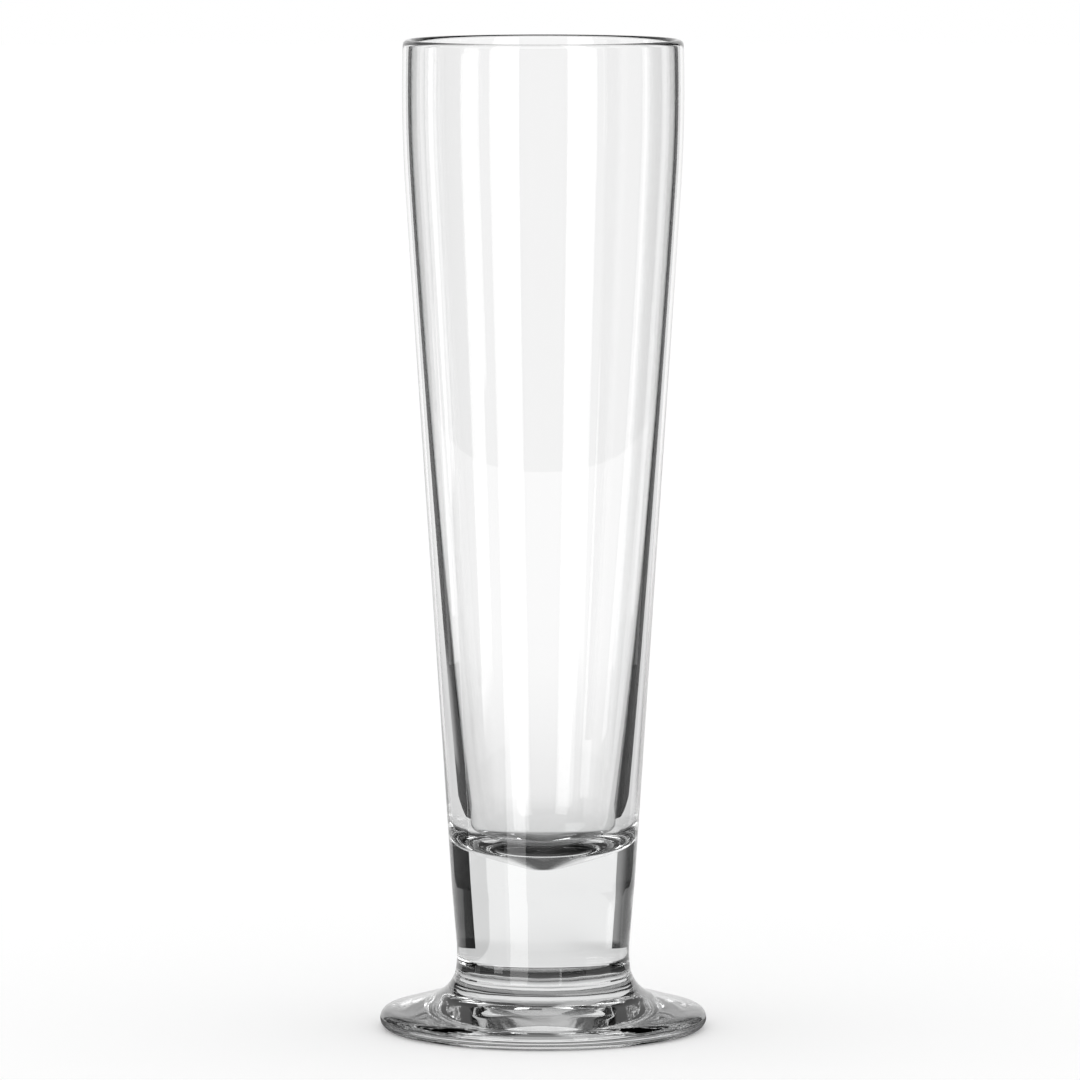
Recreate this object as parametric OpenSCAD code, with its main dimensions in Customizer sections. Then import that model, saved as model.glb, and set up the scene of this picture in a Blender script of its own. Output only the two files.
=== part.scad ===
// Footed pilsner glass: a tall bowl, a short solid stem and a round foot.
// The axis of the glass is Z and the foot stands on the plane z = 0.
// The three pieces are formed one after another and fused while hot, so they
// meet face to face at two level joints. Each piece is turned from an outline
// of (radius, height) points. The outlines are straight lines and true arcs
// that run into each other without a corner.

/* [Bowl] */
// Height of the rim above the table
glass_h = 232; // [215:1:250]
// Widest outer diameter of the bowl
bowl_d = 65.8; // [60:0.1:72]
// Drop from the rim to the widest place of the bowl
widest_drop = 12; // [6:0.5:20]
// Radius of the long arc that turns the wall upright at the widest place
shoulder_r = 354; // [280:1:430]
// Thickness of the wall at the rim and round the widest place
wall_t = 2.05; // [1.8:0.05:2.4]
// Share of the lip's thickness that its outer, larger round takes
lip_out_share = 0.64; // [0.52:0.02:0.8]
// Radius of the very long arc of the inner wall, under the shoulder
wall_in_r = 2650; // [2200:50:3200]
// Radius of the round corner between the inner wall and the floor
corner_r = 9; // [7:0.5:11]
// How much narrower the cavity is at that corner than the joint, at each side
side_t = 4.3; // [3.6:0.1:5]
// Rise of the floor towards the corner, in degrees
floor_slope = 20.5; // [14:0.5:26]
// Radius of the rounded middle of the floor
floor_r = 7.7; // [5:0.1:11]
// Height of the lowest point inside the bowl
floor_h = 38.4; // [36:0.2:44]
// Glass between that point and the joint to the stem
floor_t = 4.4; // [3:0.1:6]

/* [Stem] */
// Diameter of the joint between the bowl and the stem
bowl_joint_d = 43; // [41:0.1:46]
// Narrowest diameter of the stem
neck_d = 40.5; // [37:0.1:42]
// Height of the narrowest place of the stem
neck_h = 18; // [16:0.5:21]
// Radius of the gentle arc through the narrowest place
neck_r = 31.6; // [20:0.2:44]

/* [Foot] */
// Diameter of the foot
foot_d = 76.7; // [68:0.1:86]
// Radius of the foot's round edge
edge_r = 2.35; // [1.6:0.05:3]
// Slope of the foot's top below level, in degrees
foot_slope = 15.6; // [12:0.1:19]
// Radius of the hollow curve where the foot's top turns up into the stem
flare_r = 8.1; // [6:0.1:11]
// Height of the joint between the stem and the foot
foot_joint_h = 12.5; // [11:0.1:13.5]
// Width and depth of the fine crease that the hot joint leaves all round
crease_t = 0.15; // [0.05:0.01:0.3]
// Width of the flat ring that the glass stands on
rest_w = 3; // [1.5:0.1:6]
// Height of the shallow hollow under the foot, at its middle
push_up_h = 1.5; // [0.5:0.1:3]

/* [Hidden] */

// Turn of one straight side of an arc, in degrees, on small and on long arcs
arc_step = 5;
long_arc_step = 0.75;
// Sides of a full turn
$fn = 180;

bowl_colour = [0.90, 0.93, 0.93, 0.45];
stem_colour = [0.82, 0.87, 0.87, 0.60];
foot_colour = [0.76, 0.81, 0.81, 0.60];

// Unit direction at an angle from the radius towards up.
function dir(a) = [cos(a), sin(a)];

// Points of an arc about c from angle a to angle b, both ends included.
function arc(c, r, a, b, step = arc_step) =
    let (sides = ceil(abs(b - a) / step))
    [for (i = [0 : sides]) c + r * dir(a + (b - a) * i / sides)];

// Angle of the direction of v.
function heading(v) = atan2(v[1], v[0]);

// Angle at which the straight line from point p touches the circle (c, r).
// The side is 1 or -1, for the two places where it can touch.
function touch(p, c, r, side) =
    let (v = p - c)
    heading(v) + side * acos(r / norm(v));

// Shoulder: one centre for the outer and the inner arc, so that the wall there
// has one thickness.
bowl_joint_h = floor_h - floor_t;
bowl_joint = [bowl_joint_d / 2, bowl_joint_h];
shoulder_c = [bowl_d / 2 - shoulder_r, glass_h - widest_drop];
shoulder_in_r = shoulder_r - wall_t;
shoulder_out_a = touch(bowl_joint, shoulder_c, shoulder_r, 1);

// Rim: a larger round on the outer arc and a smaller one on the inner arc, which
// meet at the top of the lip, at the glass's height.
lip_out_r = wall_t * lip_out_share;
lip_in_r = wall_t - lip_out_r;
lip_out_a = asin((widest_drop - lip_out_r) / (shoulder_r - lip_out_r));
lip_in_a = asin((widest_drop - lip_in_r) / (shoulder_in_r + lip_in_r));
lip_out_c = shoulder_c + (shoulder_r - lip_out_r) * dir(lip_out_a);
lip_in_c = shoulder_c + (shoulder_in_r + lip_in_r) * dir(lip_in_a);

// Floor: a shallow cone with a rounded middle and a round corner. The corner's
// centre is where the corner touches both the cone and the cavity's side.
floor_a = floor_slope - 90;
floor_c = [0, floor_h + floor_r];
floor_end = floor_c + (floor_r - corner_r) * dir(floor_a);
corner_reach = bowl_joint_d / 2 - side_t - corner_r - floor_end[0];
corner_c = floor_end + [corner_reach, corner_reach * tan(floor_slope)];

// Inner wall: the very long arc that runs out of the inner shoulder arc and into
// the corner, so the wall grows thicker towards the floor. The three centres
// are the corners of a triangle whose sides are known.
wall_gap = wall_in_r - shoulder_in_r;
wall_reach = wall_in_r - corner_r;
wall_far = norm(shoulder_c - corner_c);
wall_turn = acos((pow(wall_far, 2) + pow(wall_gap, 2) - pow(wall_reach, 2))
    / (2 * wall_gap * wall_far));
wall_top_a = heading(shoulder_c - corner_c) - wall_turn;
wall_c = shoulder_c - wall_gap * dir(wall_top_a);
wall_end_a = heading(corner_c - wall_c);

// Neck: an arc whose narrowest point is at neck_h. Its angles are those of the
// surface's own direction, so 0 is upright.
neck_c = [neck_d / 2 + neck_r, neck_h];
neck_top_a = touch(bowl_joint, neck_c, neck_r, 1) - 180;

// Foot: the straight top touches the round edge. The flare arc touches that top
// and, from inside, the neck arc.
top_a = 90 - foot_slope;
edge_c = [foot_d / 2 - edge_r, edge_r];
top_lift = edge_c * dir(top_a) + edge_r + flare_r;
top_run = neck_c * dir(-foot_slope)
    - sqrt(pow(neck_r - flare_r, 2) - pow(top_lift - neck_c * dir(top_a), 2));
flare_c = top_lift * dir(top_a) + top_run * dir(-foot_slope);
flare_top_a = heading(neck_c - flare_c);

// Where the level joint cuts the flare.
joint_a = asin((flare_c[1] - foot_joint_h) / flare_r);
joint_r = flare_c[0] - flare_r * cos(joint_a);
crease_a = asin((flare_c[1] - foot_joint_h - crease_t) / flare_r);
foot_crease_a = asin((flare_c[1] - foot_joint_h + crease_t) / flare_r);

// Hollow under the foot: a shallow cap of a large ball.
rest_in_r = edge_c[0] - rest_w;
cap_r = (pow(rest_in_r, 2) + pow(push_up_h, 2)) / (2 * push_up_h);
cap_a = asin(rest_in_r / cap_r);
cap_steps = 8;

// Bowl, from the joint up the outside, over the lip and down to the floor.
bowl_outline = concat(
    [[0, bowl_joint_h], bowl_joint],
    arc(shoulder_c, shoulder_r, shoulder_out_a, lip_out_a, long_arc_step),
    arc(lip_out_c, lip_out_r, lip_out_a, 90, 3 * arc_step),
    arc(lip_in_c, lip_in_r, 90, lip_in_a + 180, 3 * arc_step),
    arc(shoulder_c, shoulder_in_r, lip_in_a, wall_top_a, long_arc_step),
    arc(wall_c, wall_in_r, wall_top_a, wall_end_a, long_arc_step / 2),
    arc(corner_c, corner_r, wall_end_a, floor_a),
    arc(floor_c, floor_r, floor_a, -90)
);

// Stem, from the top joint down the neck and into the start of the flare.
stem_outline = concat(
    [[0, bowl_joint_h], bowl_joint],
    arc(neck_c, -neck_r, neck_top_a, flare_top_a, arc_step / 2),
    arc(flare_c, -flare_r, flare_top_a, crease_a),
    [[joint_r - crease_t, foot_joint_h], [0, foot_joint_h]]
);

// Foot, from the joint out along the flare and the top, round the edge and back
// over the flat ring to the hollow underneath.
foot_outline = concat(
    [[0, foot_joint_h], [joint_r - crease_t, foot_joint_h]],
    arc(flare_c, -flare_r, foot_crease_a, top_a),
    arc(edge_c, edge_r, top_a, -90, 2 * arc_step),
    arc([0, push_up_h - cap_r], cap_r, 90 - cap_a, 90, cap_a / cap_steps)
);

// The tall vessel: round lip, wall that thickens downwards and shallow floor.
module bowl() {
    color(bowl_colour)
    rotate_extrude()
    polygon(bowl_outline);
}

// The solid block of glass under the bowl, drawn in to a neck.
module stem() {
    color(stem_colour)
    rotate_extrude()
    polygon(stem_outline);
}

// The pressed foot: flare, sloping top, round edge and hollowed underside.
module foot() {
    color(foot_colour)
    rotate_extrude()
    polygon(foot_outline);
}

bowl();
stem();
foot();
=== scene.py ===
"""Clear footed pilsner glass: its three pieces, their finishes and a studio.

The glass is turned from outlines of (radius, height) points. A bowl, a short
solid stem and a round foot are fused one to the next, so each piece is a
closed surface of its own and the faces of the two joints can't be seen.
Outlines are in millimetres and every mesh is in metres, with its place in it.
"""

import logging
import math
from dataclasses import dataclass, field
from enum import Enum
from functools import partial, reduce

import bpy
import numpy as np
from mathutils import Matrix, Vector


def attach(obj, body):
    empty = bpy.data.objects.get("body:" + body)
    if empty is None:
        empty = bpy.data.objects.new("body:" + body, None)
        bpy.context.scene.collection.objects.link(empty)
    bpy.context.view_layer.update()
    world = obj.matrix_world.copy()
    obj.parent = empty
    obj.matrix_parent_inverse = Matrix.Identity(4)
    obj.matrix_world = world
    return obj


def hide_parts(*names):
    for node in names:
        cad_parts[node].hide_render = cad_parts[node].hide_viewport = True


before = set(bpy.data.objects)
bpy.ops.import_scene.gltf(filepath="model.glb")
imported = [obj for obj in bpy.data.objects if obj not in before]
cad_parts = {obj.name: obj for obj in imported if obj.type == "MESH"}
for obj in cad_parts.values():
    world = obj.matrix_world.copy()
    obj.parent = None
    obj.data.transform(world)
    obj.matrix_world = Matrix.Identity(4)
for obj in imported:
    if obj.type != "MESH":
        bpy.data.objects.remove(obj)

log = logging.getLogger("pilsner_glass")

MM = 0.001

# Fewest straight sides of an arc, and how near two points count as one.
FEWEST_SIDES = 3
SAME_POINT = 1e-6

# A face is level where its normal's z is over this, and on a joint where its
# height is within this many millimetres of the joint's.
LEVEL = 0.999
ON_JOINT = 1e-3


class Spacing(float, Enum):
    """Longest step between two points of an outline, in millimetres."""

    JOINT = 3.0
    WALL = 1.6
    GENTLE = 0.8
    SHORT = 0.5
    FLOOR = 0.4
    NECK = 0.35
    FLARE = 0.25
    EDGE = 0.2
    LIP_OUT = 0.15
    LIP_IN = 0.1


def heading(degrees: float | np.ndarray) -> np.ndarray:
    """Returns the unit direction (cos, sin) at an angle from the radius up."""
    turn = np.radians(degrees)
    return np.stack([np.cos(turn), np.sin(turn)], axis=-1)


def arc(
    centre: np.ndarray, radius: float, start: float, end: float, spacing: Spacing
) -> np.ndarray:
    """Points of an arc, evenly spaced: centre + radius * heading(angle).

    Args:
        centre: (radius, height) of the arc's centre.
        radius: Radius of the arc; a negative one turns it to the far side.
        start: First angle in degrees.
        end: Last angle in degrees.
        spacing: Longest step between two points.

    Returns:
        An (n, 2) array with both ends.
    """
    length = abs(radius * math.radians(end - start))
    sides = max(FEWEST_SIDES, math.ceil(length / spacing))
    return centre + radius * heading(np.linspace(start, end, sides + 1))


def bearing(span: np.ndarray) -> float:
    """Returns the angle of a direction, in degrees."""
    return math.degrees(math.atan2(span[1], span[0]))


def line(start: np.ndarray, end: np.ndarray, spacing: Spacing) -> np.ndarray:
    """Points of a straight line, evenly spaced: start + t * (end - start).

    Args:
        start: First (radius, height).
        end: Last (radius, height).
        spacing: Longest step between two points.

    Returns:
        An (n, 2) array with both ends.
    """
    span = np.subtract(end, start)
    sides = max(1, math.ceil(float(np.hypot(*span)) / spacing))
    return np.asarray(start) + np.linspace(0, 1, sides + 1)[:, None] * span


def touch(point: np.ndarray, centre: np.ndarray, radius: float) -> float:
    """Angle at which a line from a point touches a circle.

    There are two such places; this is the one further anticlockwise.

    Args:
        point: (radius, height) of the point.
        centre: (radius, height) of the circle's centre.
        radius: Radius of the circle.

    Returns:
        The angle of the touching point, in degrees.
    """
    away = np.subtract(point, centre)
    reach = float(np.hypot(*away))
    return bearing(away) + math.degrees(math.acos(radius / reach))


def joined(*stretches: np.ndarray) -> np.ndarray:
    """One outline from stretches that follow each other, without twin points."""
    points = np.concatenate([np.atleast_2d(s) for s in stretches])
    step = np.hypot(*np.diff(points, axis=0).T)
    return points[np.r_[True, step > SAME_POINT]]


def joint_face(radius: float, height: float) -> np.ndarray:
    """Returns the level line of a joint, from the axis out."""
    return line(np.array([0.0, height]), np.array([radius, height]), Spacing.JOINT)


@dataclass(frozen=True)
class Ripple:
    """One faint wave of a worked surface, with its height in millimetres."""

    height: float
    around: int
    phase: float
    climb: float = 0.0

    def at(self, turn: np.ndarray, z: np.ndarray) -> np.ndarray:
        """Returns height * cos(around * turn + phase + climb * z)."""
        return self.height * np.cos(self.around * turn + self.phase + self.climb * z)


@dataclass(frozen=True)
class Piece:
    """A piece of the glass, ready to be turned into a mesh, in millimetres.

    Its ripples fade over the last lengths before a pole and before a joint.
    Corners over the sharp angle, in degrees, stay sharp.
    """

    name: str
    node: str
    slot: str
    outline: np.ndarray
    joint_heights: tuple[float, ...]
    ripples: tuple[Ripple, ...]
    sides: int = 240
    pole_fade: float = 12.0
    joint_fade: float = 3.0
    sharp_angle: float = 28.0

    def surface(self) -> np.ndarray:
        """Points of the turned surface.

        The first parameter runs along the outline from pole to pole and the
        second one round the axis. A point is (r cos a, r sin a, z), where r is
        the outline's radius plus its ripples. Ripples fade to nothing at the
        poles and on the joints.

        Returns:
            An (n, sides, 3) array in metres, without the two poles.
        """
        radius, height = self.outline[1:-1].T[:, :, None]
        turn = np.linspace(0, 2 * np.pi, self.sides, endpoint=False)[None, :]
        fade = np.clip(radius / self.pole_fade, 0, 1) ** 2
        for joint in self.joint_heights:
            near = np.clip(np.abs(height - joint) / self.joint_fade, 0, 1)
            fade = fade * near**2 * (3 - 2 * near)
        swell = sum((r.at(turn, height) for r in self.ripples), np.zeros_like(turn))
        out = radius + fade * swell
        points = np.empty((*out.shape, 3))
        points[..., 0] = out * np.cos(turn)
        points[..., 1] = out * np.sin(turn)
        points[..., 2] = height
        return points * MM

    def mesh(self) -> bpy.types.Mesh:
        """Builds the closed mesh, one quad per cell and a fan at each pole.

        Returns:
            The mesh, smooth but for its sharp corners.
        """
        grid = self.surface()
        rings, sides, _ = grid.shape
        poles = np.column_stack([np.zeros(2), np.zeros(2), self.outline[[0, -1], 1]])
        points = np.concatenate([grid.reshape(-1, 3), poles * MM])
        ring = np.arange(rings - 1)[:, None] * sides
        here = np.arange(sides)[None, :]
        after = (here + 1) % sides
        quads = np.stack(
            [ring + here, ring + after, ring + sides + after, ring + sides + here], -1
        ).reshape(-1, 4)
        first, last = rings * sides, rings * sides + 1
        top = (rings - 1) * sides
        fans = np.concatenate(
            [
                np.column_stack([np.full(sides, first), after[0], here[0]]),
                np.column_stack([np.full(sides, last), top + here[0], top + after[0]]),
            ]
        )
        mesh = bpy.data.meshes.new(self.name)
        mesh.from_pydata(points.tolist(), [], quads.tolist() + fans.tolist())
        mesh.polygons.foreach_set("use_smooth", np.ones(len(mesh.polygons), bool))
        mesh.set_sharp_from_angle(angle=math.radians(self.sharp_angle))
        mesh.update()
        return mesh


@dataclass
class Bowl:
    """The tall blown vessel, in millimetres."""

    height: float = 232.0
    width: float = 65.8
    widest_drop: float = 12.0
    shoulder_r: float = 354.0
    wall: float = 2.05
    lip_out_share: float = 0.64
    wall_in_r: float = 2650.0
    corner_r: float = 9.0
    side_t: float = 4.3
    floor_slope: float = 20.5
    floor_r: float = 7.7
    floor_h: float = 38.4
    joint_r: float = 21.5
    joint_h: float = 34.0

    def shoulder_centre(self) -> np.ndarray:
        """Returns the one centre of the outer and the inner shoulder arc."""
        across = self.width / 2 - self.shoulder_r
        return np.array([across, self.height - self.widest_drop])

    def lip_radii(self) -> tuple[float, float]:
        """Returns the radii of the lip's outer and inner round."""
        large = self.wall * self.lip_out_share
        return large, self.wall - large

    def lip_round(self, radius: float, reach: float) -> tuple[np.ndarray, float]:
        """Finds where a round of the lip runs out of its shoulder arc.

        Args:
            radius: Radius of the round.
            reach: Distance of its centre from the shoulder's centre.

        Returns:
            The round's centre and the angle of its start, in degrees.
        """
        lean = math.degrees(math.asin((self.widest_drop - radius) / reach))
        return self.shoulder_centre() + reach * heading(lean), lean

    def outside(self) -> np.ndarray:
        """Outline of the outside, from the joint up and over the lip.

        A straight line touches the long shoulder arc. The lip is a large and a
        small round that meet at its top.

        Returns:
            An (n, 2) stretch.
        """
        joint = np.array([self.joint_r, self.joint_h])
        centre = self.shoulder_centre()
        start = touch(joint, centre, self.shoulder_r)
        large, small = self.lip_radii()
        out_c, out_a = self.lip_round(large, self.shoulder_r - large)
        in_c, in_a = self.lip_round(small, self.shoulder_r - self.wall + small)
        return joined(
            line(joint, centre + self.shoulder_r * heading(start), Spacing.WALL),
            arc(centre, self.shoulder_r, start, out_a, Spacing.WALL),
            arc(out_c, large, out_a, 90, Spacing.LIP_OUT),
            arc(in_c, small, 90, in_a + 180, Spacing.LIP_IN),
        )

    def inside(self) -> np.ndarray:
        """Outline of the inside, from under the lip down to the axis.

        The floor is a shallow cone with a rounded middle and a round corner.
        The very long arc of the wall runs out of the shoulder arc and into that
        corner; its centre and theirs make a triangle whose sides are known.

        Returns:
            An (n, 2) stretch.
        """
        centre = self.shoulder_centre()
        inner_r = self.shoulder_r - self.wall
        small = self.lip_radii()[1]
        lean = self.lip_round(small, inner_r + small)[1]
        floor_a = self.floor_slope - 90
        middle = np.array([0.0, self.floor_h + self.floor_r])
        end = middle + (self.floor_r - self.corner_r) * heading(floor_a)
        run = self.joint_r - self.side_t - self.corner_r - float(end[0])
        rise = run * math.tan(math.radians(self.floor_slope))
        corner = end + np.array([run, rise])
        gap = self.wall_in_r - inner_r
        far = float(np.hypot(*(centre - corner)))
        near = self.wall_in_r - self.corner_r
        turn = math.degrees(math.acos((far**2 + gap**2 - near**2) / (2 * gap * far)))
        top_a = bearing(centre - corner) - turn
        wall_c = centre - gap * heading(top_a)
        wall_a = bearing(corner - wall_c)
        return joined(
            arc(centre, inner_r, lean, top_a, Spacing.WALL),
            arc(wall_c, self.wall_in_r, top_a, wall_a, Spacing.WALL),
            arc(corner, self.corner_r, wall_a, floor_a, Spacing.FLOOR),
            line(
                corner + self.corner_r * heading(floor_a),
                middle + self.floor_r * heading(floor_a),
                Spacing.SHORT,
            ),
            arc(middle, self.floor_r, floor_a, -90, Spacing.FLOOR),
        )

    def piece(self) -> Piece:
        """Returns the bowl, ready to be made."""
        face = joint_face(self.joint_r, self.joint_h)
        return Piece(
            name="blown_bowl",
            node="bowl",
            slot="bowl_glass",
            outline=joined(face, self.outside(), self.inside()),
            joint_heights=(self.joint_h,),
            ripples=(
                Ripple(height=0.012, around=3, phase=0.4, climb=0.01),
                Ripple(height=0.004, around=13, phase=1.1, climb=0.03),
            ),
        )


@dataclass
class FootedStem:
    """The solid stem and the pressed foot, which share one side outline.

    Sizes are in millimetres and degrees. The joint is the one with the bowl,
    and the seam is the joint between the two.
    """

    joint_r: float
    joint_h: float
    neck_w: float = 40.5
    neck_h: float = 18.0
    neck_r: float = 31.6
    foot_w: float = 76.7
    edge_r: float = 2.35
    slope: float = 15.6
    flare_r: float = 8.1
    seam_h: float = 12.5
    crease: float = 0.3
    rest_w: float = 3.0
    push_up: float = 1.5
    neck_c: np.ndarray = field(init=False)
    edge_c: np.ndarray = field(init=False)
    flare_c: np.ndarray = field(init=False)
    flare_top_a: float = field(init=False)

    def __post_init__(self) -> None:
        """Finds the centres of the neck, edge and flare arcs.

        The straight top touches the round edge, and the flare arc touches that
        top and, from inside, the neck arc.
        """
        top_a = 90 - self.slope
        self.neck_c = np.array([self.neck_w / 2 + self.neck_r, self.neck_h])
        self.edge_c = np.array([self.foot_w / 2 - self.edge_r, self.edge_r])
        up, along = heading(top_a), heading(-self.slope)
        lift = float(self.edge_c @ up) + self.edge_r + self.flare_r
        reach = (self.neck_r - self.flare_r) ** 2 - (lift - self.neck_c @ up) ** 2
        run = float(self.neck_c @ along) - math.sqrt(reach)
        self.flare_c = lift * up + run * along
        self.flare_top_a = bearing(self.neck_c - self.flare_c)

    def flare_angle(self, height: float) -> float:
        """Returns the flare arc's angle at a height, in degrees."""
        return math.degrees(math.asin((self.flare_c[1] - height) / self.flare_r))

    def seam(self) -> np.ndarray:
        """Returns the bottom of the crease where the lower joint meets the flare."""
        turn = math.radians(self.flare_angle(self.seam_h))
        radius = float(self.flare_c[0] - self.flare_r * math.cos(turn))
        return np.array([radius - self.crease, self.seam_h])

    def stem_outline(self) -> np.ndarray:
        """Returns the stem's outline: seam, start of the flare, neck, joint."""
        joint = np.array([self.joint_r, self.joint_h])
        top_a = touch(joint, self.neck_c, self.neck_r) - 180
        neck = arc(self.neck_c, -self.neck_r, top_a, self.flare_top_a, Spacing.NECK)
        seam_a = self.flare_angle(self.seam_h + self.crease)
        seam = self.seam()
        return joined(
            joint_face(self.joint_r, self.joint_h),
            line(joint, neck[0], Spacing.GENTLE),
            neck,
            arc(self.flare_c, -self.flare_r, self.flare_top_a, seam_a, Spacing.FLARE),
            seam,
            joint_face(seam[0], self.seam_h)[::-1],
        )[::-1]

    def foot_outline(self) -> np.ndarray:
        """Returns the foot's outline: hollow, ring, edge, top, flare, seam."""
        top_a = 90 - self.slope
        seam_a = self.flare_angle(self.seam_h - self.crease)
        flare = arc(self.flare_c, -self.flare_r, seam_a, top_a, Spacing.FLARE)
        edge = arc(self.edge_c, self.edge_r, top_a, -90, Spacing.EDGE)
        ring_r = float(self.edge_c[0]) - self.rest_w
        cap_r = (ring_r**2 + self.push_up**2) / (2 * self.push_up)
        cap_a = math.degrees(math.asin(ring_r / cap_r))
        cap_c = np.array([0, self.push_up - cap_r])
        hollow = arc(cap_c, cap_r, 90 - cap_a, 90, Spacing.GENTLE)
        return joined(
            joint_face(self.seam()[0], self.seam_h),
            flare,
            line(flare[-1], edge[0], Spacing.SHORT),
            edge,
            line(edge[-1], hollow[0], Spacing.SHORT),
            hollow,
        )[::-1]

    def pieces(self) -> list[Piece]:
        """Returns the stem and the foot, ready to be made."""
        stem = Piece(
            name="solid_stem",
            node="stem",
            slot="stem_glass",
            outline=self.stem_outline(),
            joint_heights=(self.joint_h, self.seam_h),
            ripples=(
                Ripple(height=0.03, around=5, phase=0.7, climb=0.05),
                Ripple(height=0.012, around=17, phase=2.0, climb=0.04),
            ),
        )
        foot = Piece(
            name="pressed_foot",
            node="foot",
            slot="foot_glass",
            outline=self.foot_outline(),
            joint_heights=(self.seam_h,),
            ripples=(
                Ripple(height=0.03, around=4, phase=1.9),
                Ripple(height=0.015, around=19, phase=0.3),
            ),
        )
        return [stem, foot]


class NodeSums:
    """Makes the nodes that reckon in one node tree, from sockets and numbers."""

    def __init__(self, tree: bpy.types.NodeTree) -> None:
        """Keeps the tree that the nodes are made in."""
        self.tree = tree

    def give(self, slot: bpy.types.NodeSocket, value: object) -> None:
        """Links a socket to an input, or sets the input to a number."""
        if isinstance(value, bpy.types.NodeSocket):
            self.tree.links.new(value, slot)
        else:
            slot.default_value = value

    def sums(self, operation: str, *values: object) -> bpy.types.NodeSocket:
        """Returns the result of a Math node for sockets or numbers."""
        node = self.tree.nodes.new("ShaderNodeMath")
        node.operation = operation
        for slot, value in zip(node.inputs, values):
            self.give(slot, value)
        return node.outputs[0]

    def product(self, *values: object) -> bpy.types.NodeSocket:
        """Returns the product of two or more sockets or numbers."""
        return reduce(partial(self.sums, "MULTIPLY"), values)

    def parts(self, vector: bpy.types.NodeSocket) -> list[bpy.types.NodeSocket]:
        """Returns the x, the y and the z of a vector."""
        node = self.tree.nodes.new("ShaderNodeSeparateXYZ")
        self.give(node.inputs[0], vector)
        return list(node.outputs)

    def step(
        self, value: object, low: object, high: object, first: object, last: object
    ) -> bpy.types.NodeSocket:
        """Makes a smooth step.

        Args:
            value: What is compared.
            low: Where the step starts.
            high: Where it ends.
            first: Result below the step.
            last: Result above it.

        Returns:
            The result's socket.
        """
        node = self.tree.nodes.new("ShaderNodeMapRange")
        node.interpolation_type = "SMOOTHSTEP"
        for name, given in zip(
            ("Value", "From Min", "From Max", "To Min", "To Max"),
            (value, low, high, first, last),
        ):
            self.give(node.inputs[name], given)
        return node.outputs["Result"]

    def mixed(self, share: object, a: object, b: object) -> bpy.types.NodeSocket:
        """Returns a + share * (b - a)."""
        return self.sums("MULTIPLY_ADD", share, self.sums("SUBTRACT", b, a), a)

    def colours(
        self, share: object, a: bpy.types.NodeSocket, b: bpy.types.NodeSocket
    ) -> bpy.types.NodeSocket:
        """Returns the colour a + share * (b - a)."""
        node = self.tree.nodes.new("ShaderNodeMix")
        node.data_type = "RGBA"
        self.give(node.inputs["Factor"], share)
        slots = [slot for slot in node.inputs if slot.type == "RGBA"]
        self.give(slots[0], a)
        self.give(slots[1], b)
        return next(slot for slot in node.outputs if slot.type == "RGBA")


def new_group(
    name: str, inputs: dict[str, str], outputs: dict[str, str]
) -> tuple[bpy.types.NodeTree, bpy.types.Node, bpy.types.Node]:
    """Makes an empty shader group with named sockets.

    Args:
        name: Name of the group.
        inputs: Kind of socket for each input's name.
        outputs: Kind of socket for each output's name.

    Returns:
        The group, its input node and its output node.
    """
    tree = bpy.data.node_groups.new(name, "ShaderNodeTree")
    for way, sockets in (("INPUT", inputs), ("OUTPUT", outputs)):
        for title, kind in sockets.items():
            tree.interface.new_socket(title, in_out=way, socket_type=kind)
    given = tree.nodes.new("NodeGroupInput")
    return tree, given, tree.nodes.new("NodeGroupOutput")


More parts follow.
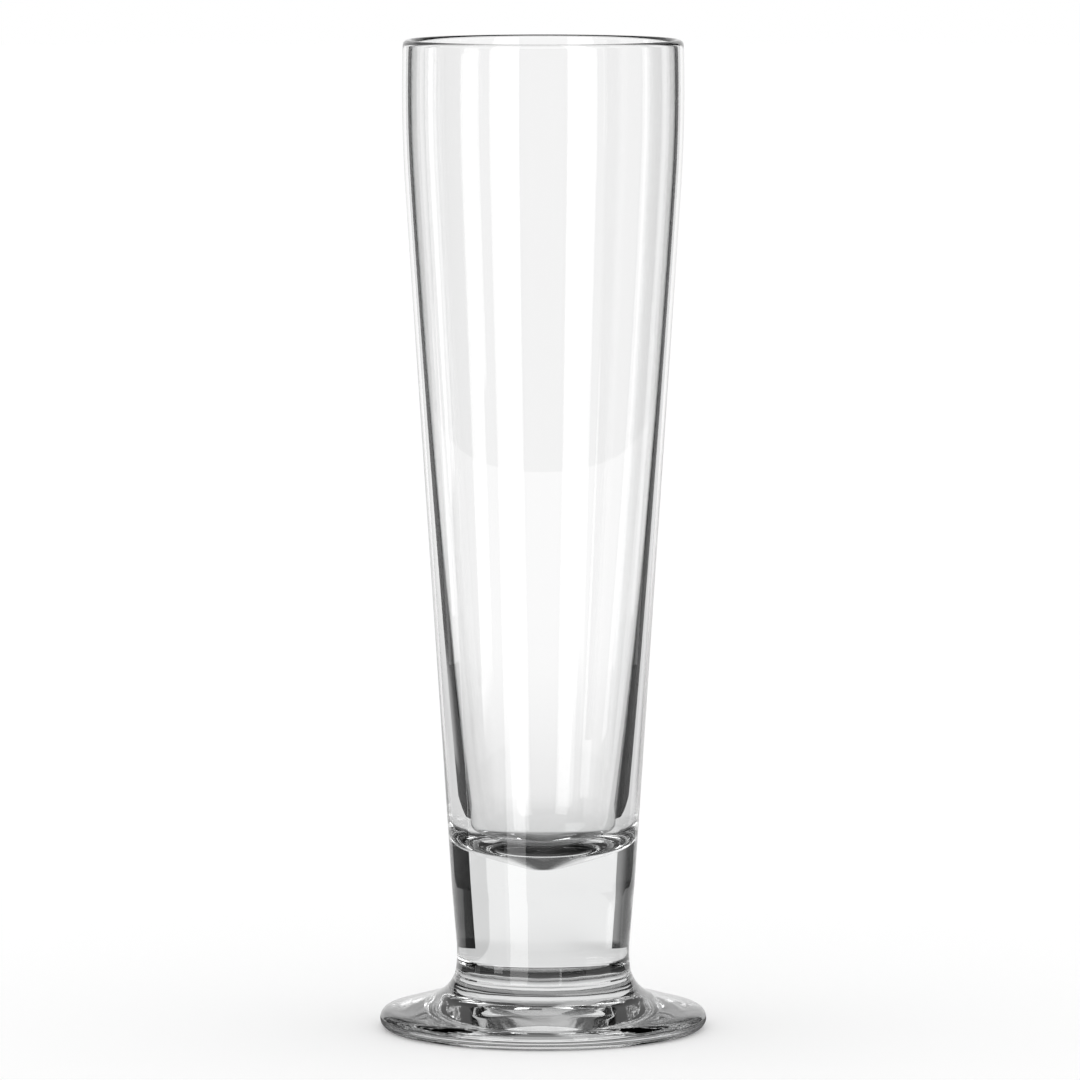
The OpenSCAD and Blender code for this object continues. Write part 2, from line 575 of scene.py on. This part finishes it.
class GlassEffects:
    """The node groups that every glass finish shares.

    The ring bend is how far the cords shift the chill rings, in radians. The
    scuff scale is how fine the scuffs are, per metre.
    """

    ring_bend: float = 6.0
    scuff_scale: float = 2400.0

    def __init__(self) -> None:
        """Builds the groups once."""
        # The first group tints thick glass and paints shade on glass seen edge-on.
        self.edge = self.thick_tint_and_edge_shade()
        self.marks = self.worked_surface()

    @staticmethod
    def thick_tint_and_edge_shade() -> bpy.types.NodeTree:
        """Builds the group that tints thick glass and paints shade on glass seen
        edge-on.

        Returns:
            A group: a smooth step over the height mixes the thick and the clear
            colour, and one over the facing mixes the result and the edge colour,
            a painted shade that darkens glass seen edge-on.
        """
        number, colour = "NodeSocketFloat", "NodeSocketColor"
        tree, given, result = new_group(
            "thick_tint_and_edge_shade",
            {
                "Position": "NodeSocketVector",
                "Thick Top": number,
                "Thin Bottom": number,
                "Facing": number,
                "Start": number,
                "End": number,
                "Thick": colour,
                "Clear": colour,
                "Edge": colour,
            },
            {"Base Color": colour},
        )
        side, maths = given.outputs, NodeSums(tree)
        _, _, z = maths.parts(side["Position"])
        thin = maths.step(z, side["Thick Top"], side["Thin Bottom"], 0.0, 1.0)
        # Painted shade: glass seen edge-on is darkened towards the edge colour.
        edge_shade_share = maths.step(side["Facing"], side["Start"], side["End"], 0.0, 1.0)
        body = maths.colours(thin, side["Thick"], side["Clear"])
        tint_and_edge_shade = maths.colours(edge_shade_share, body, side["Edge"])
        tree.links.new(tint_and_edge_shade, result.inputs["Base Color"])
        return tree

    @staticmethod
    def worked_surface() -> bpy.types.NodeTree:
        """Builds the group for the marks that hot working leaves in glass.

        Cords are noise drawn out along the axis. Chill rings are waves of the
        distance from the axis, made uneven by the noise. Both are heights in
        metres for a bump. Roughness is the scuffs of use where the glass
        touches the table, made uneven by fine noise.

        Returns:
            The group, with a normal and a roughness.
        """
        number = "NodeSocketFloat"
        tree, given, result = new_group(
            "worked_surface",
            {
                "Position": "NodeSocketVector",
                "Cord Scale": number,
                "Cord Stretch": number,
                "Cord Height": number,
                "Ring Scale": number,
                "Ring Height": number,
                "Scuff Top": number,
                "Scuff": number,
            },
            {"Normal": "NodeSocketVector", "Roughness": number},
        )
        side, nodes, links = given.outputs, tree.nodes, tree.links
        maths = NodeSums(tree)
        x, y, z = maths.parts(side["Position"])
        drawn = nodes.new("ShaderNodeCombineXYZ")
        for slot, part in zip(
            drawn.inputs, (x, y, maths.product(z, side["Cord Stretch"]))
        ):
            links.new(part, slot)

        def noise(place: object, scale: object) -> bpy.types.NodeSocket:
            """Returns noise about zero, from -0.5 to 0.5."""
            node = nodes.new("ShaderNodeTexNoise")
            maths.give(node.inputs["Vector"], place)
            maths.give(node.inputs["Scale"], scale)
            return maths.sums("SUBTRACT", node.outputs[0], 0.5)

        cord = noise(drawn.outputs[0], side["Cord Scale"])
        square = maths.sums(
            "ADD", maths.sums("POWER", x, 2.0), maths.sums("POWER", y, 2.0)
        )
        turn = maths.product(maths.sums("SQRT", square), side["Ring Scale"])
        uneven = maths.sums("MULTIPLY_ADD", cord, GlassEffects.ring_bend, turn)
        height = maths.sums(
            "ADD",
            maths.product(cord, side["Cord Height"]),
            maths.product(maths.sums("SINE", uneven), side["Ring Height"]),
        )
        bump = nodes.new("ShaderNodeBump")
        bump.inputs["Strength"].default_value = 1.0
        bump.inputs["Distance"].default_value = 1.0
        links.new(height, bump.inputs["Height"])
        links.new(bump.outputs["Normal"], result.inputs["Normal"])
        fine = maths.sums("ADD", noise(side["Position"], GlassEffects.scuff_scale), 1.0)
        worn = maths.step(z, 0.0, side["Scuff Top"], side["Scuff"], 0.0)
        links.new(maths.product(worn, fine), result.inputs["Roughness"])
        return tree


@dataclass(frozen=True)
class GlassFinish:
    """Clear glass with the faint marks of its making and painted edge shade, sizes in
    millimetres.
    """

    name: str
    cord_width: float
    cord_height: float
    clear: tuple[float, float, float] = (1.0, 1.0, 1.0)
    thick: tuple[float, float, float] = (0.87, 0.875, 0.875)
    thick_top: float = 44.0
    thin_bottom: float = 54.0
    # Painted shade: the colour that glass seen edge-on is darkened to, between
    # edge_start and edge_end of the facing.
    edge: tuple[float, float, float] = (0.3, 0.31, 0.31)
    edge_start: float = 0.8
    edge_end: float = 0.95
    cord_stretch: float = 0.2
    ring_width: float = 3.0
    ring_height: float = 0.0
    scuff_top: float = 0.25
    scuff: float = 0.0
    ior: float = 1.52

    def material(self, effects: GlassEffects) -> bpy.types.Material:
        """Makes the glass material.

        Args:
            effects: The shared node groups.

        Returns:
            The material.
        """
        made = bpy.data.materials.new(self.name)
        made.use_nodes = True
        nodes, links = made.node_tree.nodes, made.node_tree.links
        shader = nodes["Principled BSDF"]
        shader.inputs["Metallic"].default_value = 0.0
        shader.inputs["IOR"].default_value = self.ior
        shader.inputs["Transmission Weight"].default_value = 1.0
        where = nodes.new("ShaderNodeTexCoord")
        # Layer Weight's facing sets where the painted edge shade falls.
        view = nodes.new("ShaderNodeLayerWeight")
        view.inputs["Blend"].default_value = 0.5
        tint_and_edge_shade = nodes.new("ShaderNodeGroup")
        tint_and_edge_shade.node_tree = effects.edge
        links.new(where.outputs["Object"], tint_and_edge_shade.inputs["Position"])
        links.new(view.outputs["Facing"], tint_and_edge_shade.inputs["Facing"])
        for name, value in (
            ("Thick Top", self.thick_top * MM),
            ("Thin Bottom", self.thin_bottom * MM),
            ("Start", self.edge_start),
            ("End", self.edge_end),
            ("Thick", (*self.thick, 1)),
            ("Clear", (*self.clear, 1)),
            ("Edge", (*self.edge, 1)),
        ):
            tint_and_edge_shade.inputs[name].default_value = value
        # The base colour carries the thick glass's tint and the painted edge shade.
        links.new(tint_and_edge_shade.outputs["Base Color"], shader.inputs["Base Color"])
        marks = nodes.new("ShaderNodeGroup")
        marks.node_tree = effects.marks
        links.new(where.outputs["Object"], marks.inputs["Position"])
        for name, value in (
            ("Cord Scale", 1 / (self.cord_width * MM)),
            ("Cord Stretch", self.cord_stretch),
            ("Cord Height", self.cord_height * MM),
            ("Ring Scale", math.tau / (self.ring_width * MM)),
            ("Ring Height", self.ring_height * MM),
            ("Scuff Top", self.scuff_top * MM),
            ("Scuff", self.scuff),
        ):
            marks.inputs[name].default_value = value
        links.new(marks.outputs["Normal"], shader.inputs["Normal"])
        links.new(marks.outputs["Roughness"], shader.inputs["Roughness"])
        return made


@dataclass(frozen=True)
class FusedJoint:
    """The face where two pieces are fused, which can't be seen in the glass."""

    name: str = "fused_joint"

    def material(self) -> bpy.types.Material:
        """Returns a material that lets everything through unbent."""
        made = bpy.data.materials.new(self.name)
        made.use_nodes = True
        shader = made.node_tree.nodes["Principled BSDF"]
        shader.inputs["Base Color"].default_value = (1, 1, 1, 1)
        shader.inputs["Alpha"].default_value = 0.0
        return made


def made_glass(
    piece: Piece, glass: bpy.types.Material, joint: bpy.types.Material
) -> bpy.types.Object:
    """Makes a piece of glass and puts it in its CAD node's place.

    Args:
        piece: What to make.
        glass: Material of its outside.
        joint: Material of its joint faces.

    Returns:
        The finished object.
    """
    mesh = piece.mesh()
    thing = bpy.data.objects.new(piece.name, mesh)
    bpy.context.scene.collection.objects.link(thing)
    mesh.materials.append(glass)
    mesh.materials.append(joint)
    spots = np.empty(len(mesh.polygons) * 3)
    mesh.polygons.foreach_get("center", spots)
    lean = np.empty(len(mesh.polygons) * 3)
    mesh.polygons.foreach_get("normal", lean)
    height = spots.reshape(-1, 3)[:, 2] / MM
    flat = np.abs(lean.reshape(-1, 3)[:, 2]) > LEVEL
    inner = np.zeros(len(height), dtype=np.int32)
    for level in piece.joint_heights:
        inner |= (flat & (np.abs(height - level) < ON_JOINT)).astype(np.int32)
    mesh.polygons.foreach_set("material_index", inner)
    mesh.update()
    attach(thing, "root")
    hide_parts(piece.node)
    log.info("%s: %d faces, %d of a joint", piece.name, len(inner), int(inner.sum()))
    return thing


def glowing_paint(name: str, grey: float, glow: float) -> bpy.types.Material:
    """Makes a matt paint for the stage.

    Args:
        name: Name of the material.
        grey: How pale it is.
        glow: Light that it gives of its own.

    Returns:
        The material.
    """
    made = bpy.data.materials.new(name)
    made.use_nodes = True
    shader = made.node_tree.nodes["Principled BSDF"]
    shader.inputs["Base Color"].default_value = (grey, grey, grey, 1)
    shader.inputs["Roughness"].default_value = 1.0
    shader.inputs["Specular IOR Level"].default_value = 0.0
    shader.inputs["Emission Color"].default_value = (1, 1, 1, 1)
    shader.inputs["Emission Strength"].default_value = glow
    return made


class GlowPaint:
    """A black paint whose glow is reckoned from the place on the stage."""

    def __init__(self, name: str) -> None:
        """Makes the paint and the sockets of the place, in metres."""
        self.material = glowing_paint(name, 0.0, 1.0)
        tree = self.material.node_tree
        self.maths = NodeSums(tree)
        self.place = tree.nodes.new("ShaderNodeTexCoord").outputs["Object"]
        self.x, self.y, self.z = self.maths.parts(self.place)

    def finished(self, glow: bpy.types.NodeSocket) -> bpy.types.Material:
        """Returns the paint with its glow linked."""
        shader = self.material.node_tree.nodes["Principled BSDF"]
        self.maths.give(shader.inputs["Emission Strength"], glow)
        return self.material


@dataclass(frozen=True)
class Panel:
    """A card or soft box round the glass, by the directions that it fills.

    Azimuth is 0 behind the glass and grows to the right; elevation is up. Both
    are in degrees, and so is the width of its soft edge.
    """

    name: str
    azimuth: tuple[float, float]
    elevation: tuple[float, float]
    strength: float
    soft: float


@dataclass(frozen=True)
class Card:
    """A dark card that stands beside the glass, in metres.

    Its (y, z) outline is a rectangle from turn_y to far_y, with a low foot
    from near_y. It stands on the line x = side * (stand_x - lean * (y -
    stand_y)), so it turns a little towards the backdrop's middle. A patch of
    painted light glows on it: it fades in along y at the far end, and in and
    out again low down.
    """

    name: str
    side: float
    height: float
    glow: float
    # Glow of the patch of painted light on the card.
    patch_glow: float
    near_y: float = 0.02
    turn_y: float = 0.075
    far_y: float = 0.174
    foot_height: float = 0.06
    stand_x: float = 0.15
    stand_y: float = 0.08
    lean: float = 0.213
    patch_start: tuple[float, float] = (0.11, 0.17)
    patch_bottom: tuple[float, float] = (0.008, 0.016)
    patch_top: tuple[float, float] = (0.034, 0.05)

    def corners(self) -> list[tuple[float, float, float]]:
        """Returns the corners in space."""
        outline = (
            (self.near_y, 0.0),
            (self.far_y, 0.0),
            (self.far_y, self.height),
            (self.turn_y, self.height),
            (self.turn_y, self.foot_height),
            (self.near_y, self.foot_height),
        )
        return [
            (self.side * (self.stand_x - self.lean * (y - self.stand_y)), y, z)
            for y, z in outline
        ]

    def material(self) -> bpy.types.Material:
        """Makes the card's paint: dark, with the glowing patch of painted light.

        Returns:
            The material, with smooth steps over y and z that are multiplied.
        """
        paint = GlowPaint(f"{self.name}_paint")
        maths = paint.maths
        # Painted light: the patch glows pale on the dark card, low down at its far end.
        patch = maths.product(
            maths.step(paint.y, *self.patch_start, 0.0, 1.0),
            maths.step(paint.z, *self.patch_bottom, 0.0, 1.0),
            maths.step(paint.z, *self.patch_top, 1.0, 0.0),
        )
        return paint.finished(maths.mixed(patch, self.glow, self.patch_glow))


@dataclass(frozen=True)
class Flag:
    """A small black flag beside the glass, with upright ends, in metres.

    The foot and the head are its (x, y) ends at the lower and upper height.
    """

    foot: tuple[tuple[float, float], tuple[float, float]]
    head: tuple[tuple[float, float], tuple[float, float]]
    heights: tuple[float, float]

    def corners(self) -> list[tuple[float, float, float]]:
        """Returns the corners in space."""
        low, high = self.heights
        return [(*end, low) for end in self.foot] + [
            (*end, high) for end in reversed(self.head)
        ]


@dataclass(frozen=True)
class Table:
    """The table top that the glass mirrors, in metres and degrees.

    Its edge is given as (azimuth, reach) pairs; each reach holds from its
    azimuth on, starting at -180. Each step of the glow is where it starts and
    ends, and the glow before and after it. The glow grows with the distance
    behind the glass and is multiplied by the other steps: less on the far left
    and the far right, dim beside the cards and in front, and lowest in the
    shade under the foot. Far in front, the last step is added.
    """

    edge: tuple[tuple[float, float], ...] = (
        (-180.0, 0.3),
        (-160.0, 0.04),
        (-134.0, 0.2),
        (-64.0, 1.2),
        (65.0, 0.2),
        (134.0, 0.3),
    )
    behind: tuple[float, ...] = (0.2, 0.62, 0.88, 1.03)
    left: tuple[float, float] = (-0.12, 0.0)
    left_behind: tuple[float, ...] = (0.2, 0.5, 0.85, 1.0)
    in_front: tuple[float, ...] = (-0.06, 0.02, 0.15, 1.0)
    far_right: tuple[float, ...] = (26.0, 27.0, 1.0, 0.8)
    beside: tuple[float, ...] = (62.0, 66.0, 1.0, 0.3)
    shade: tuple[float, ...] = (0.03, 0.056, 0.2, 1.0)
    deep_shade: tuple[float, ...] = (0.022, 0.036, 0.2, 1.0)
    far_front: tuple[float, ...] = (-0.19, -0.15, 0.42, 0.0)

    def material(self) -> bpy.types.Material:
        """Makes the table's paint, as the glass sees it.

        Returns:
            The material, with the smooth steps over the place.
        """
        paint = GlowPaint("table_top_paint")
        maths = paint.maths
        distance = paint.material.node_tree.nodes.new("ShaderNodeVectorMath")
        distance.operation = "LENGTH"
        maths.give(distance.inputs[0], paint.place)
        reach = distance.outputs["Value"]
        turn = maths.sums("DEGREES", maths.sums("ARCTAN2", paint.x, paint.y))
        left = maths.step(paint.y, *self.left_behind)
        glow = maths.product(
            maths.step(paint.y, *self.behind),
            maths.step(paint.x, *self.left, left, 1.0),
            maths.step(paint.y, *self.in_front),
            maths.step(turn, *self.far_right),
            maths.step(maths.sums("ABSOLUTE", turn), *self.beside),
            maths.step(reach, *self.shade),
            maths.step(reach, *self.deep_shade),
        )
        far_front = maths.step(paint.y, *self.far_front)
        return paint.finished(maths.sums("ADD", glow, far_front))


@dataclass(frozen=True)
class View:
    """The photograph's viewing angle, in metres, and its lens in millimetres."""

    place: tuple[float, float, float] = (-0.00075, -2.0, 0.308)
    aim: tuple[float, float, float] = (-0.00075, 0.0, 0.11498)
    lens: float = 286.2
    sensor: float = 36.0
    clip: tuple[float, float] = (0.05, 50.0)

    def build(self) -> None:
        """Makes the scene's camera."""
        data = bpy.data.cameras.new("camera")
        data.lens = self.lens
        data.sensor_width = self.sensor
        data.clip_start, data.clip_end = self.clip
        camera = bpy.data.objects.new("camera", data)
        camera.location = self.place
        aim = Vector(self.aim) - camera.location
        camera.rotation_mode = "QUATERNION"
        camera.rotation_quaternion = aim.to_track_quat("-Z", "Y")
        bpy.context.scene.collection.objects.link(camera)
        bpy.context.scene.camera = camera


@dataclass
class Studio:
    """White backdrop, dark cards at the sides, soft boxes and a pale floor.

    The room is the light from where no panel is. Lengths are in metres.
    """

    panels: tuple[Panel, ...] = (
        Panel("surround", (-200.0, 200.0), (-90.0, 12.0), 0.56, 8.0),
        Panel("backdrop_high", (-16.0, 16.0), (-90.0, 56.0), 0.2, 8.0),
        Panel("backdrop_left", (-48.0, -10.0), (-90.0, 68.0), 0.5, 8.0),
        Panel("backdrop_fade", (-62.0, 62.0), (-90.0, 40.0), 0.5, 8.0),
        Panel("backdrop", (-62.0, 62.0), (-90.0, 22.0), 0.96, 6.0),
        Panel("backdrop_right", (26.5, 62.0), (-90.0, 22.0), 0.82, 1.0),
        Panel("left_grey", (-80.0, -60.0), (-90.0, 38.0), 0.2, 3.0),
        Panel("right_grey", (60.0, 80.0), (-90.0, 38.0), 0.2, 3.0),
        Panel("left_lamp", (-78.0, -67.0), (-12.5, 3.0), 2.2, 1.0),
        Panel("ceiling", (-200.0, 200.0), (66.0, 100.0), 0.55, 8.0),
        Panel("front_left", (-200.0, -130.0), (28.0, 80.0), 0.6, 6.0),
        Panel("front_right", (104.0, 200.0), (34.0, 80.0), 0.55, 6.0),
        Panel("left_soft_box", (-158.5, -135.5), (-35.0, 26.0), 2.9, 1.0),
        Panel("right_soft_box", (135.5, 158.5), (-13.2, 30.0), 2.9, 1.0),
        Panel("left_strip_box", (-123.4, -109.0), (-12.8, 1.0), 3.0, 0.6),
    )
    cards: tuple[Card, ...] = (
        Card("left_card", side=-1.0, height=0.24, glow=0.02, patch_glow=0.33),
        Card("right_card", side=1.0, height=0.33, glow=0.005, patch_glow=0.005),
    )
    flags: tuple[Flag, ...] = (
        Flag(
            foot=((-0.115, -0.053), (-0.115, -0.02)),
            head=((-0.115, -0.0585), (-0.115, -0.018)),
            heights=(0.05, 0.26),
        ),
        Flag(
            foot=((-0.0385, -0.027), (-0.045, -0.013)),
            head=((-0.0385, -0.027), (-0.045, -0.013)),
            heights=(0.0, 0.03),
        ),
        Flag(
            foot=((0.0344, -0.0321), (0.0153, -0.0444)),
            head=((0.0344, -0.0321), (0.0153, -0.0444)),
            heights=(0.0, 0.03),
        ),
    )
    flag_glow: float = 0.01
    room: float = 0.02
    floor_reach: float = 6.0
    floor_drop: float = 2e-5
    floor_grey: float = 0.9
    floor_glow: float = 0.12
    table_drop: float = 4e-5
    table: Table = Table()
    bounces: int = 24
    glossy_bounces: int = 16
    clear_bounces: int = 32

    @staticmethod
    def window_group() -> bpy.types.NodeTree:
        """Builds the group that says how much of a direction a panel fills.

        Returns:
            A shader group: smooth steps over azimuth and elevation, multiplied.
        """
        number = "NodeSocketFloat"
        names = ("Azimuth", "Elevation", "Left", "Right", "Low", "High", "Soft")
        tree, given, result = new_group(
            "panel_window", dict.fromkeys(names, number), {"Filled": number}
        )
        maths = NodeSums(tree)
        half = maths.product(given.outputs["Soft"], 0.5)
        inside = []
        for name, edge, first, last in (
            ("Azimuth", "Left", 0.0, 1.0),
            ("Azimuth", "Right", 1.0, 0.0),
            ("Elevation", "Low", 0.0, 1.0),
            ("Elevation", "High", 1.0, 0.0),
        ):
            place = given.outputs[edge]
            low = maths.sums("SUBTRACT", place, half)
            high = maths.sums("ADD", place, half)
            inside.append(maths.step(given.outputs[name], low, high, first, last))
        tree.links.new(maths.product(*inside), result.inputs["Filled"])
        return tree

    def build_world(self) -> None:
        """Makes the world: white to the camera, the panels to the glass."""
        world = bpy.data.worlds.new("studio")
        bpy.context.scene.world = world
        world.use_nodes = True
        nodes, links = world.node_tree.nodes, world.node_tree.links
        maths = NodeSums(world.node_tree)
        window = self.window_group()
        where = nodes.new("ShaderNodeTexCoord")
        x, y, z = maths.parts(where.outputs["Generated"])
        azimuth = maths.sums("DEGREES", maths.sums("ARCTAN2", x, y))
        elevation = maths.sums("DEGREES", maths.sums("ARCSINE", z))
        light: object = self.room
        for panel in self.panels:
            node = nodes.new("ShaderNodeGroup")
            node.node_tree = window
            node.label = panel.name
            for name, value in (
                ("Azimuth", azimuth),
                ("Elevation", elevation),
                ("Left", panel.azimuth[0]),
                ("Right", panel.azimuth[1]),
                ("Low", panel.elevation[0]),
                ("High", panel.elevation[1]),
                ("Soft", panel.soft),
            ):
                maths.give(node.inputs[name], value)
            light = maths.mixed(node.outputs["Filled"], light, panel.strength)
        path = nodes.new("ShaderNodeLightPath")
        glossy, through = (
            path.outputs[f"Is {kind} Ray"] for kind in ("Glossy", "Transmission")
        )
        bent = maths.sums("MAXIMUM", glossy, through)
        shown = maths.mixed(bent, 1.0, light)
        links.new(shown, nodes["Background"].inputs["Strength"])
        nodes["Background"].inputs["Color"].default_value = (1, 1, 1, 1)

    def stage_disc(
        self, name: str, drop: float, edge: tuple[tuple[float, float], ...]
    ) -> bpy.types.Object:
        """Makes a level surface under the glass.

        Its points are (r sin a, r cos a, -drop), where a is the azimuth and r
        the reach there.

        Args:
            name: Name of the object.
            drop: How far below the glass it lies.
            edge: (azimuth, reach) pairs; each reach holds from its azimuth on,
                starting at -180.

        Returns:
            The object.
        """
        turn = np.arange(-180.0, 180.0)
        radius = np.empty(turn.shape)
        for start, reach in edge:
            radius[turn >= start] = reach
        turn = np.radians(turn)
        spots = np.column_stack(
            [radius * np.sin(turn), radius * np.cos(turn), np.full(turn.shape, -drop)]
        )
        return self.stage_plane(name, spots[::-1].tolist())

    def stage_plane(
        self, name: str, spots: list[tuple[float, float, float]]
    ) -> bpy.types.Object:
        """Makes one flat face of the stage.

        Args:
            name: Name of the object.
            spots: Its corners in order.

        Returns:
            The object.
        """
        mesh = bpy.data.meshes.new(name)
        mesh.from_pydata(spots, [], [list(range(len(spots)))])
        plane = bpy.data.objects.new(name, mesh)
        bpy.context.scene.collection.objects.link(plane)
        return plane

    def show_to_glass(
        self, plane: bpy.types.Object, paint: bpy.types.Material
    ) -> None:
        """Paints a plane that is seen only through the glass or mirrored in it."""
        plane.data.materials.append(paint)
        plane.visible_camera = plane.visible_diffuse = False
        plane.visible_shadow = False

    def build_floor(self) -> None:
        """Makes the pale floor and the table top that the glass mirrors.

        The floor is white to the camera but for the shadow.
        """
        edge = ((-180.0, self.floor_reach),)
        floor = self.stage_disc("floor", self.floor_drop, edge)
        floor.visible_glossy = floor.visible_transmission = False
        floor.data.materials.append(
            glowing_paint("floor_paint", self.floor_grey, self.floor_glow)
        )
        table = self.stage_disc("table_top", self.table_drop, self.table.edge)
        self.show_to_glass(table, self.table.material())

    def build_cards(self) -> None:
        """Makes the cards that darken the glass's edges."""
        for card in self.cards:
            plane = self.stage_plane(card.name, card.corners())
            self.show_to_glass(plane, card.material())

    def build_flags(self) -> None:
        """Makes the flags that keep the soft boxes out of parts of the glass."""
        black = glowing_paint("flag_paint", 0.0, self.flag_glow)
        for count, flag in enumerate(self.flags):
            plane = self.stage_plane(f"flag_{count}", flag.corners())
            self.show_to_glass(plane, black)

    def build(self) -> None:
        """Builds the whole studio and sets how light is followed."""
        self.build_world()
        self.build_floor()
        self.build_cards()
        self.build_flags()
        View().build()
        scene = bpy.context.scene
        scene.view_settings.view_transform = "Standard"
        scene.cycles.max_bounces = self.bounces
        scene.cycles.transmission_bounces = self.bounces
        scene.cycles.glossy_bounces = self.glossy_bounces
        scene.cycles.transparent_max_bounces = self.clear_bounces
        log.info("studio: %d panels", len(self.panels))


def main() -> None:
    """Builds the glass, its finishes and the studio."""
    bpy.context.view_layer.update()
    Studio().build()
    joint = FusedJoint().material()
    effects = GlassEffects()
    finishes = {
        "bowl_glass": GlassFinish("blown_glass", cord_width=14.0, cord_height=0.0008),
        "stem_glass": GlassFinish("solid_glass", cord_width=5.0, cord_height=0.006),
        "foot_glass": GlassFinish(
            "pressed_glass",
            thick=(0.85, 0.855, 0.855),
            cord_width=7.0,
            cord_stretch=1.0,
            cord_height=0.002,
            ring_width=2.6,
            ring_height=0.0002,
            scuff=0.12,
        ),
    }
    bowl = Bowl()
    footed_stem = FootedStem(bowl.joint_r, bowl.joint_h)
    for piece in [bowl.piece(), *footed_stem.pieces()]:
        made_glass(piece, finishes[piece.slot].material(effects), joint)


if __name__ == "__main__":
    logging.basicConfig(level=logging.INFO)
    main()
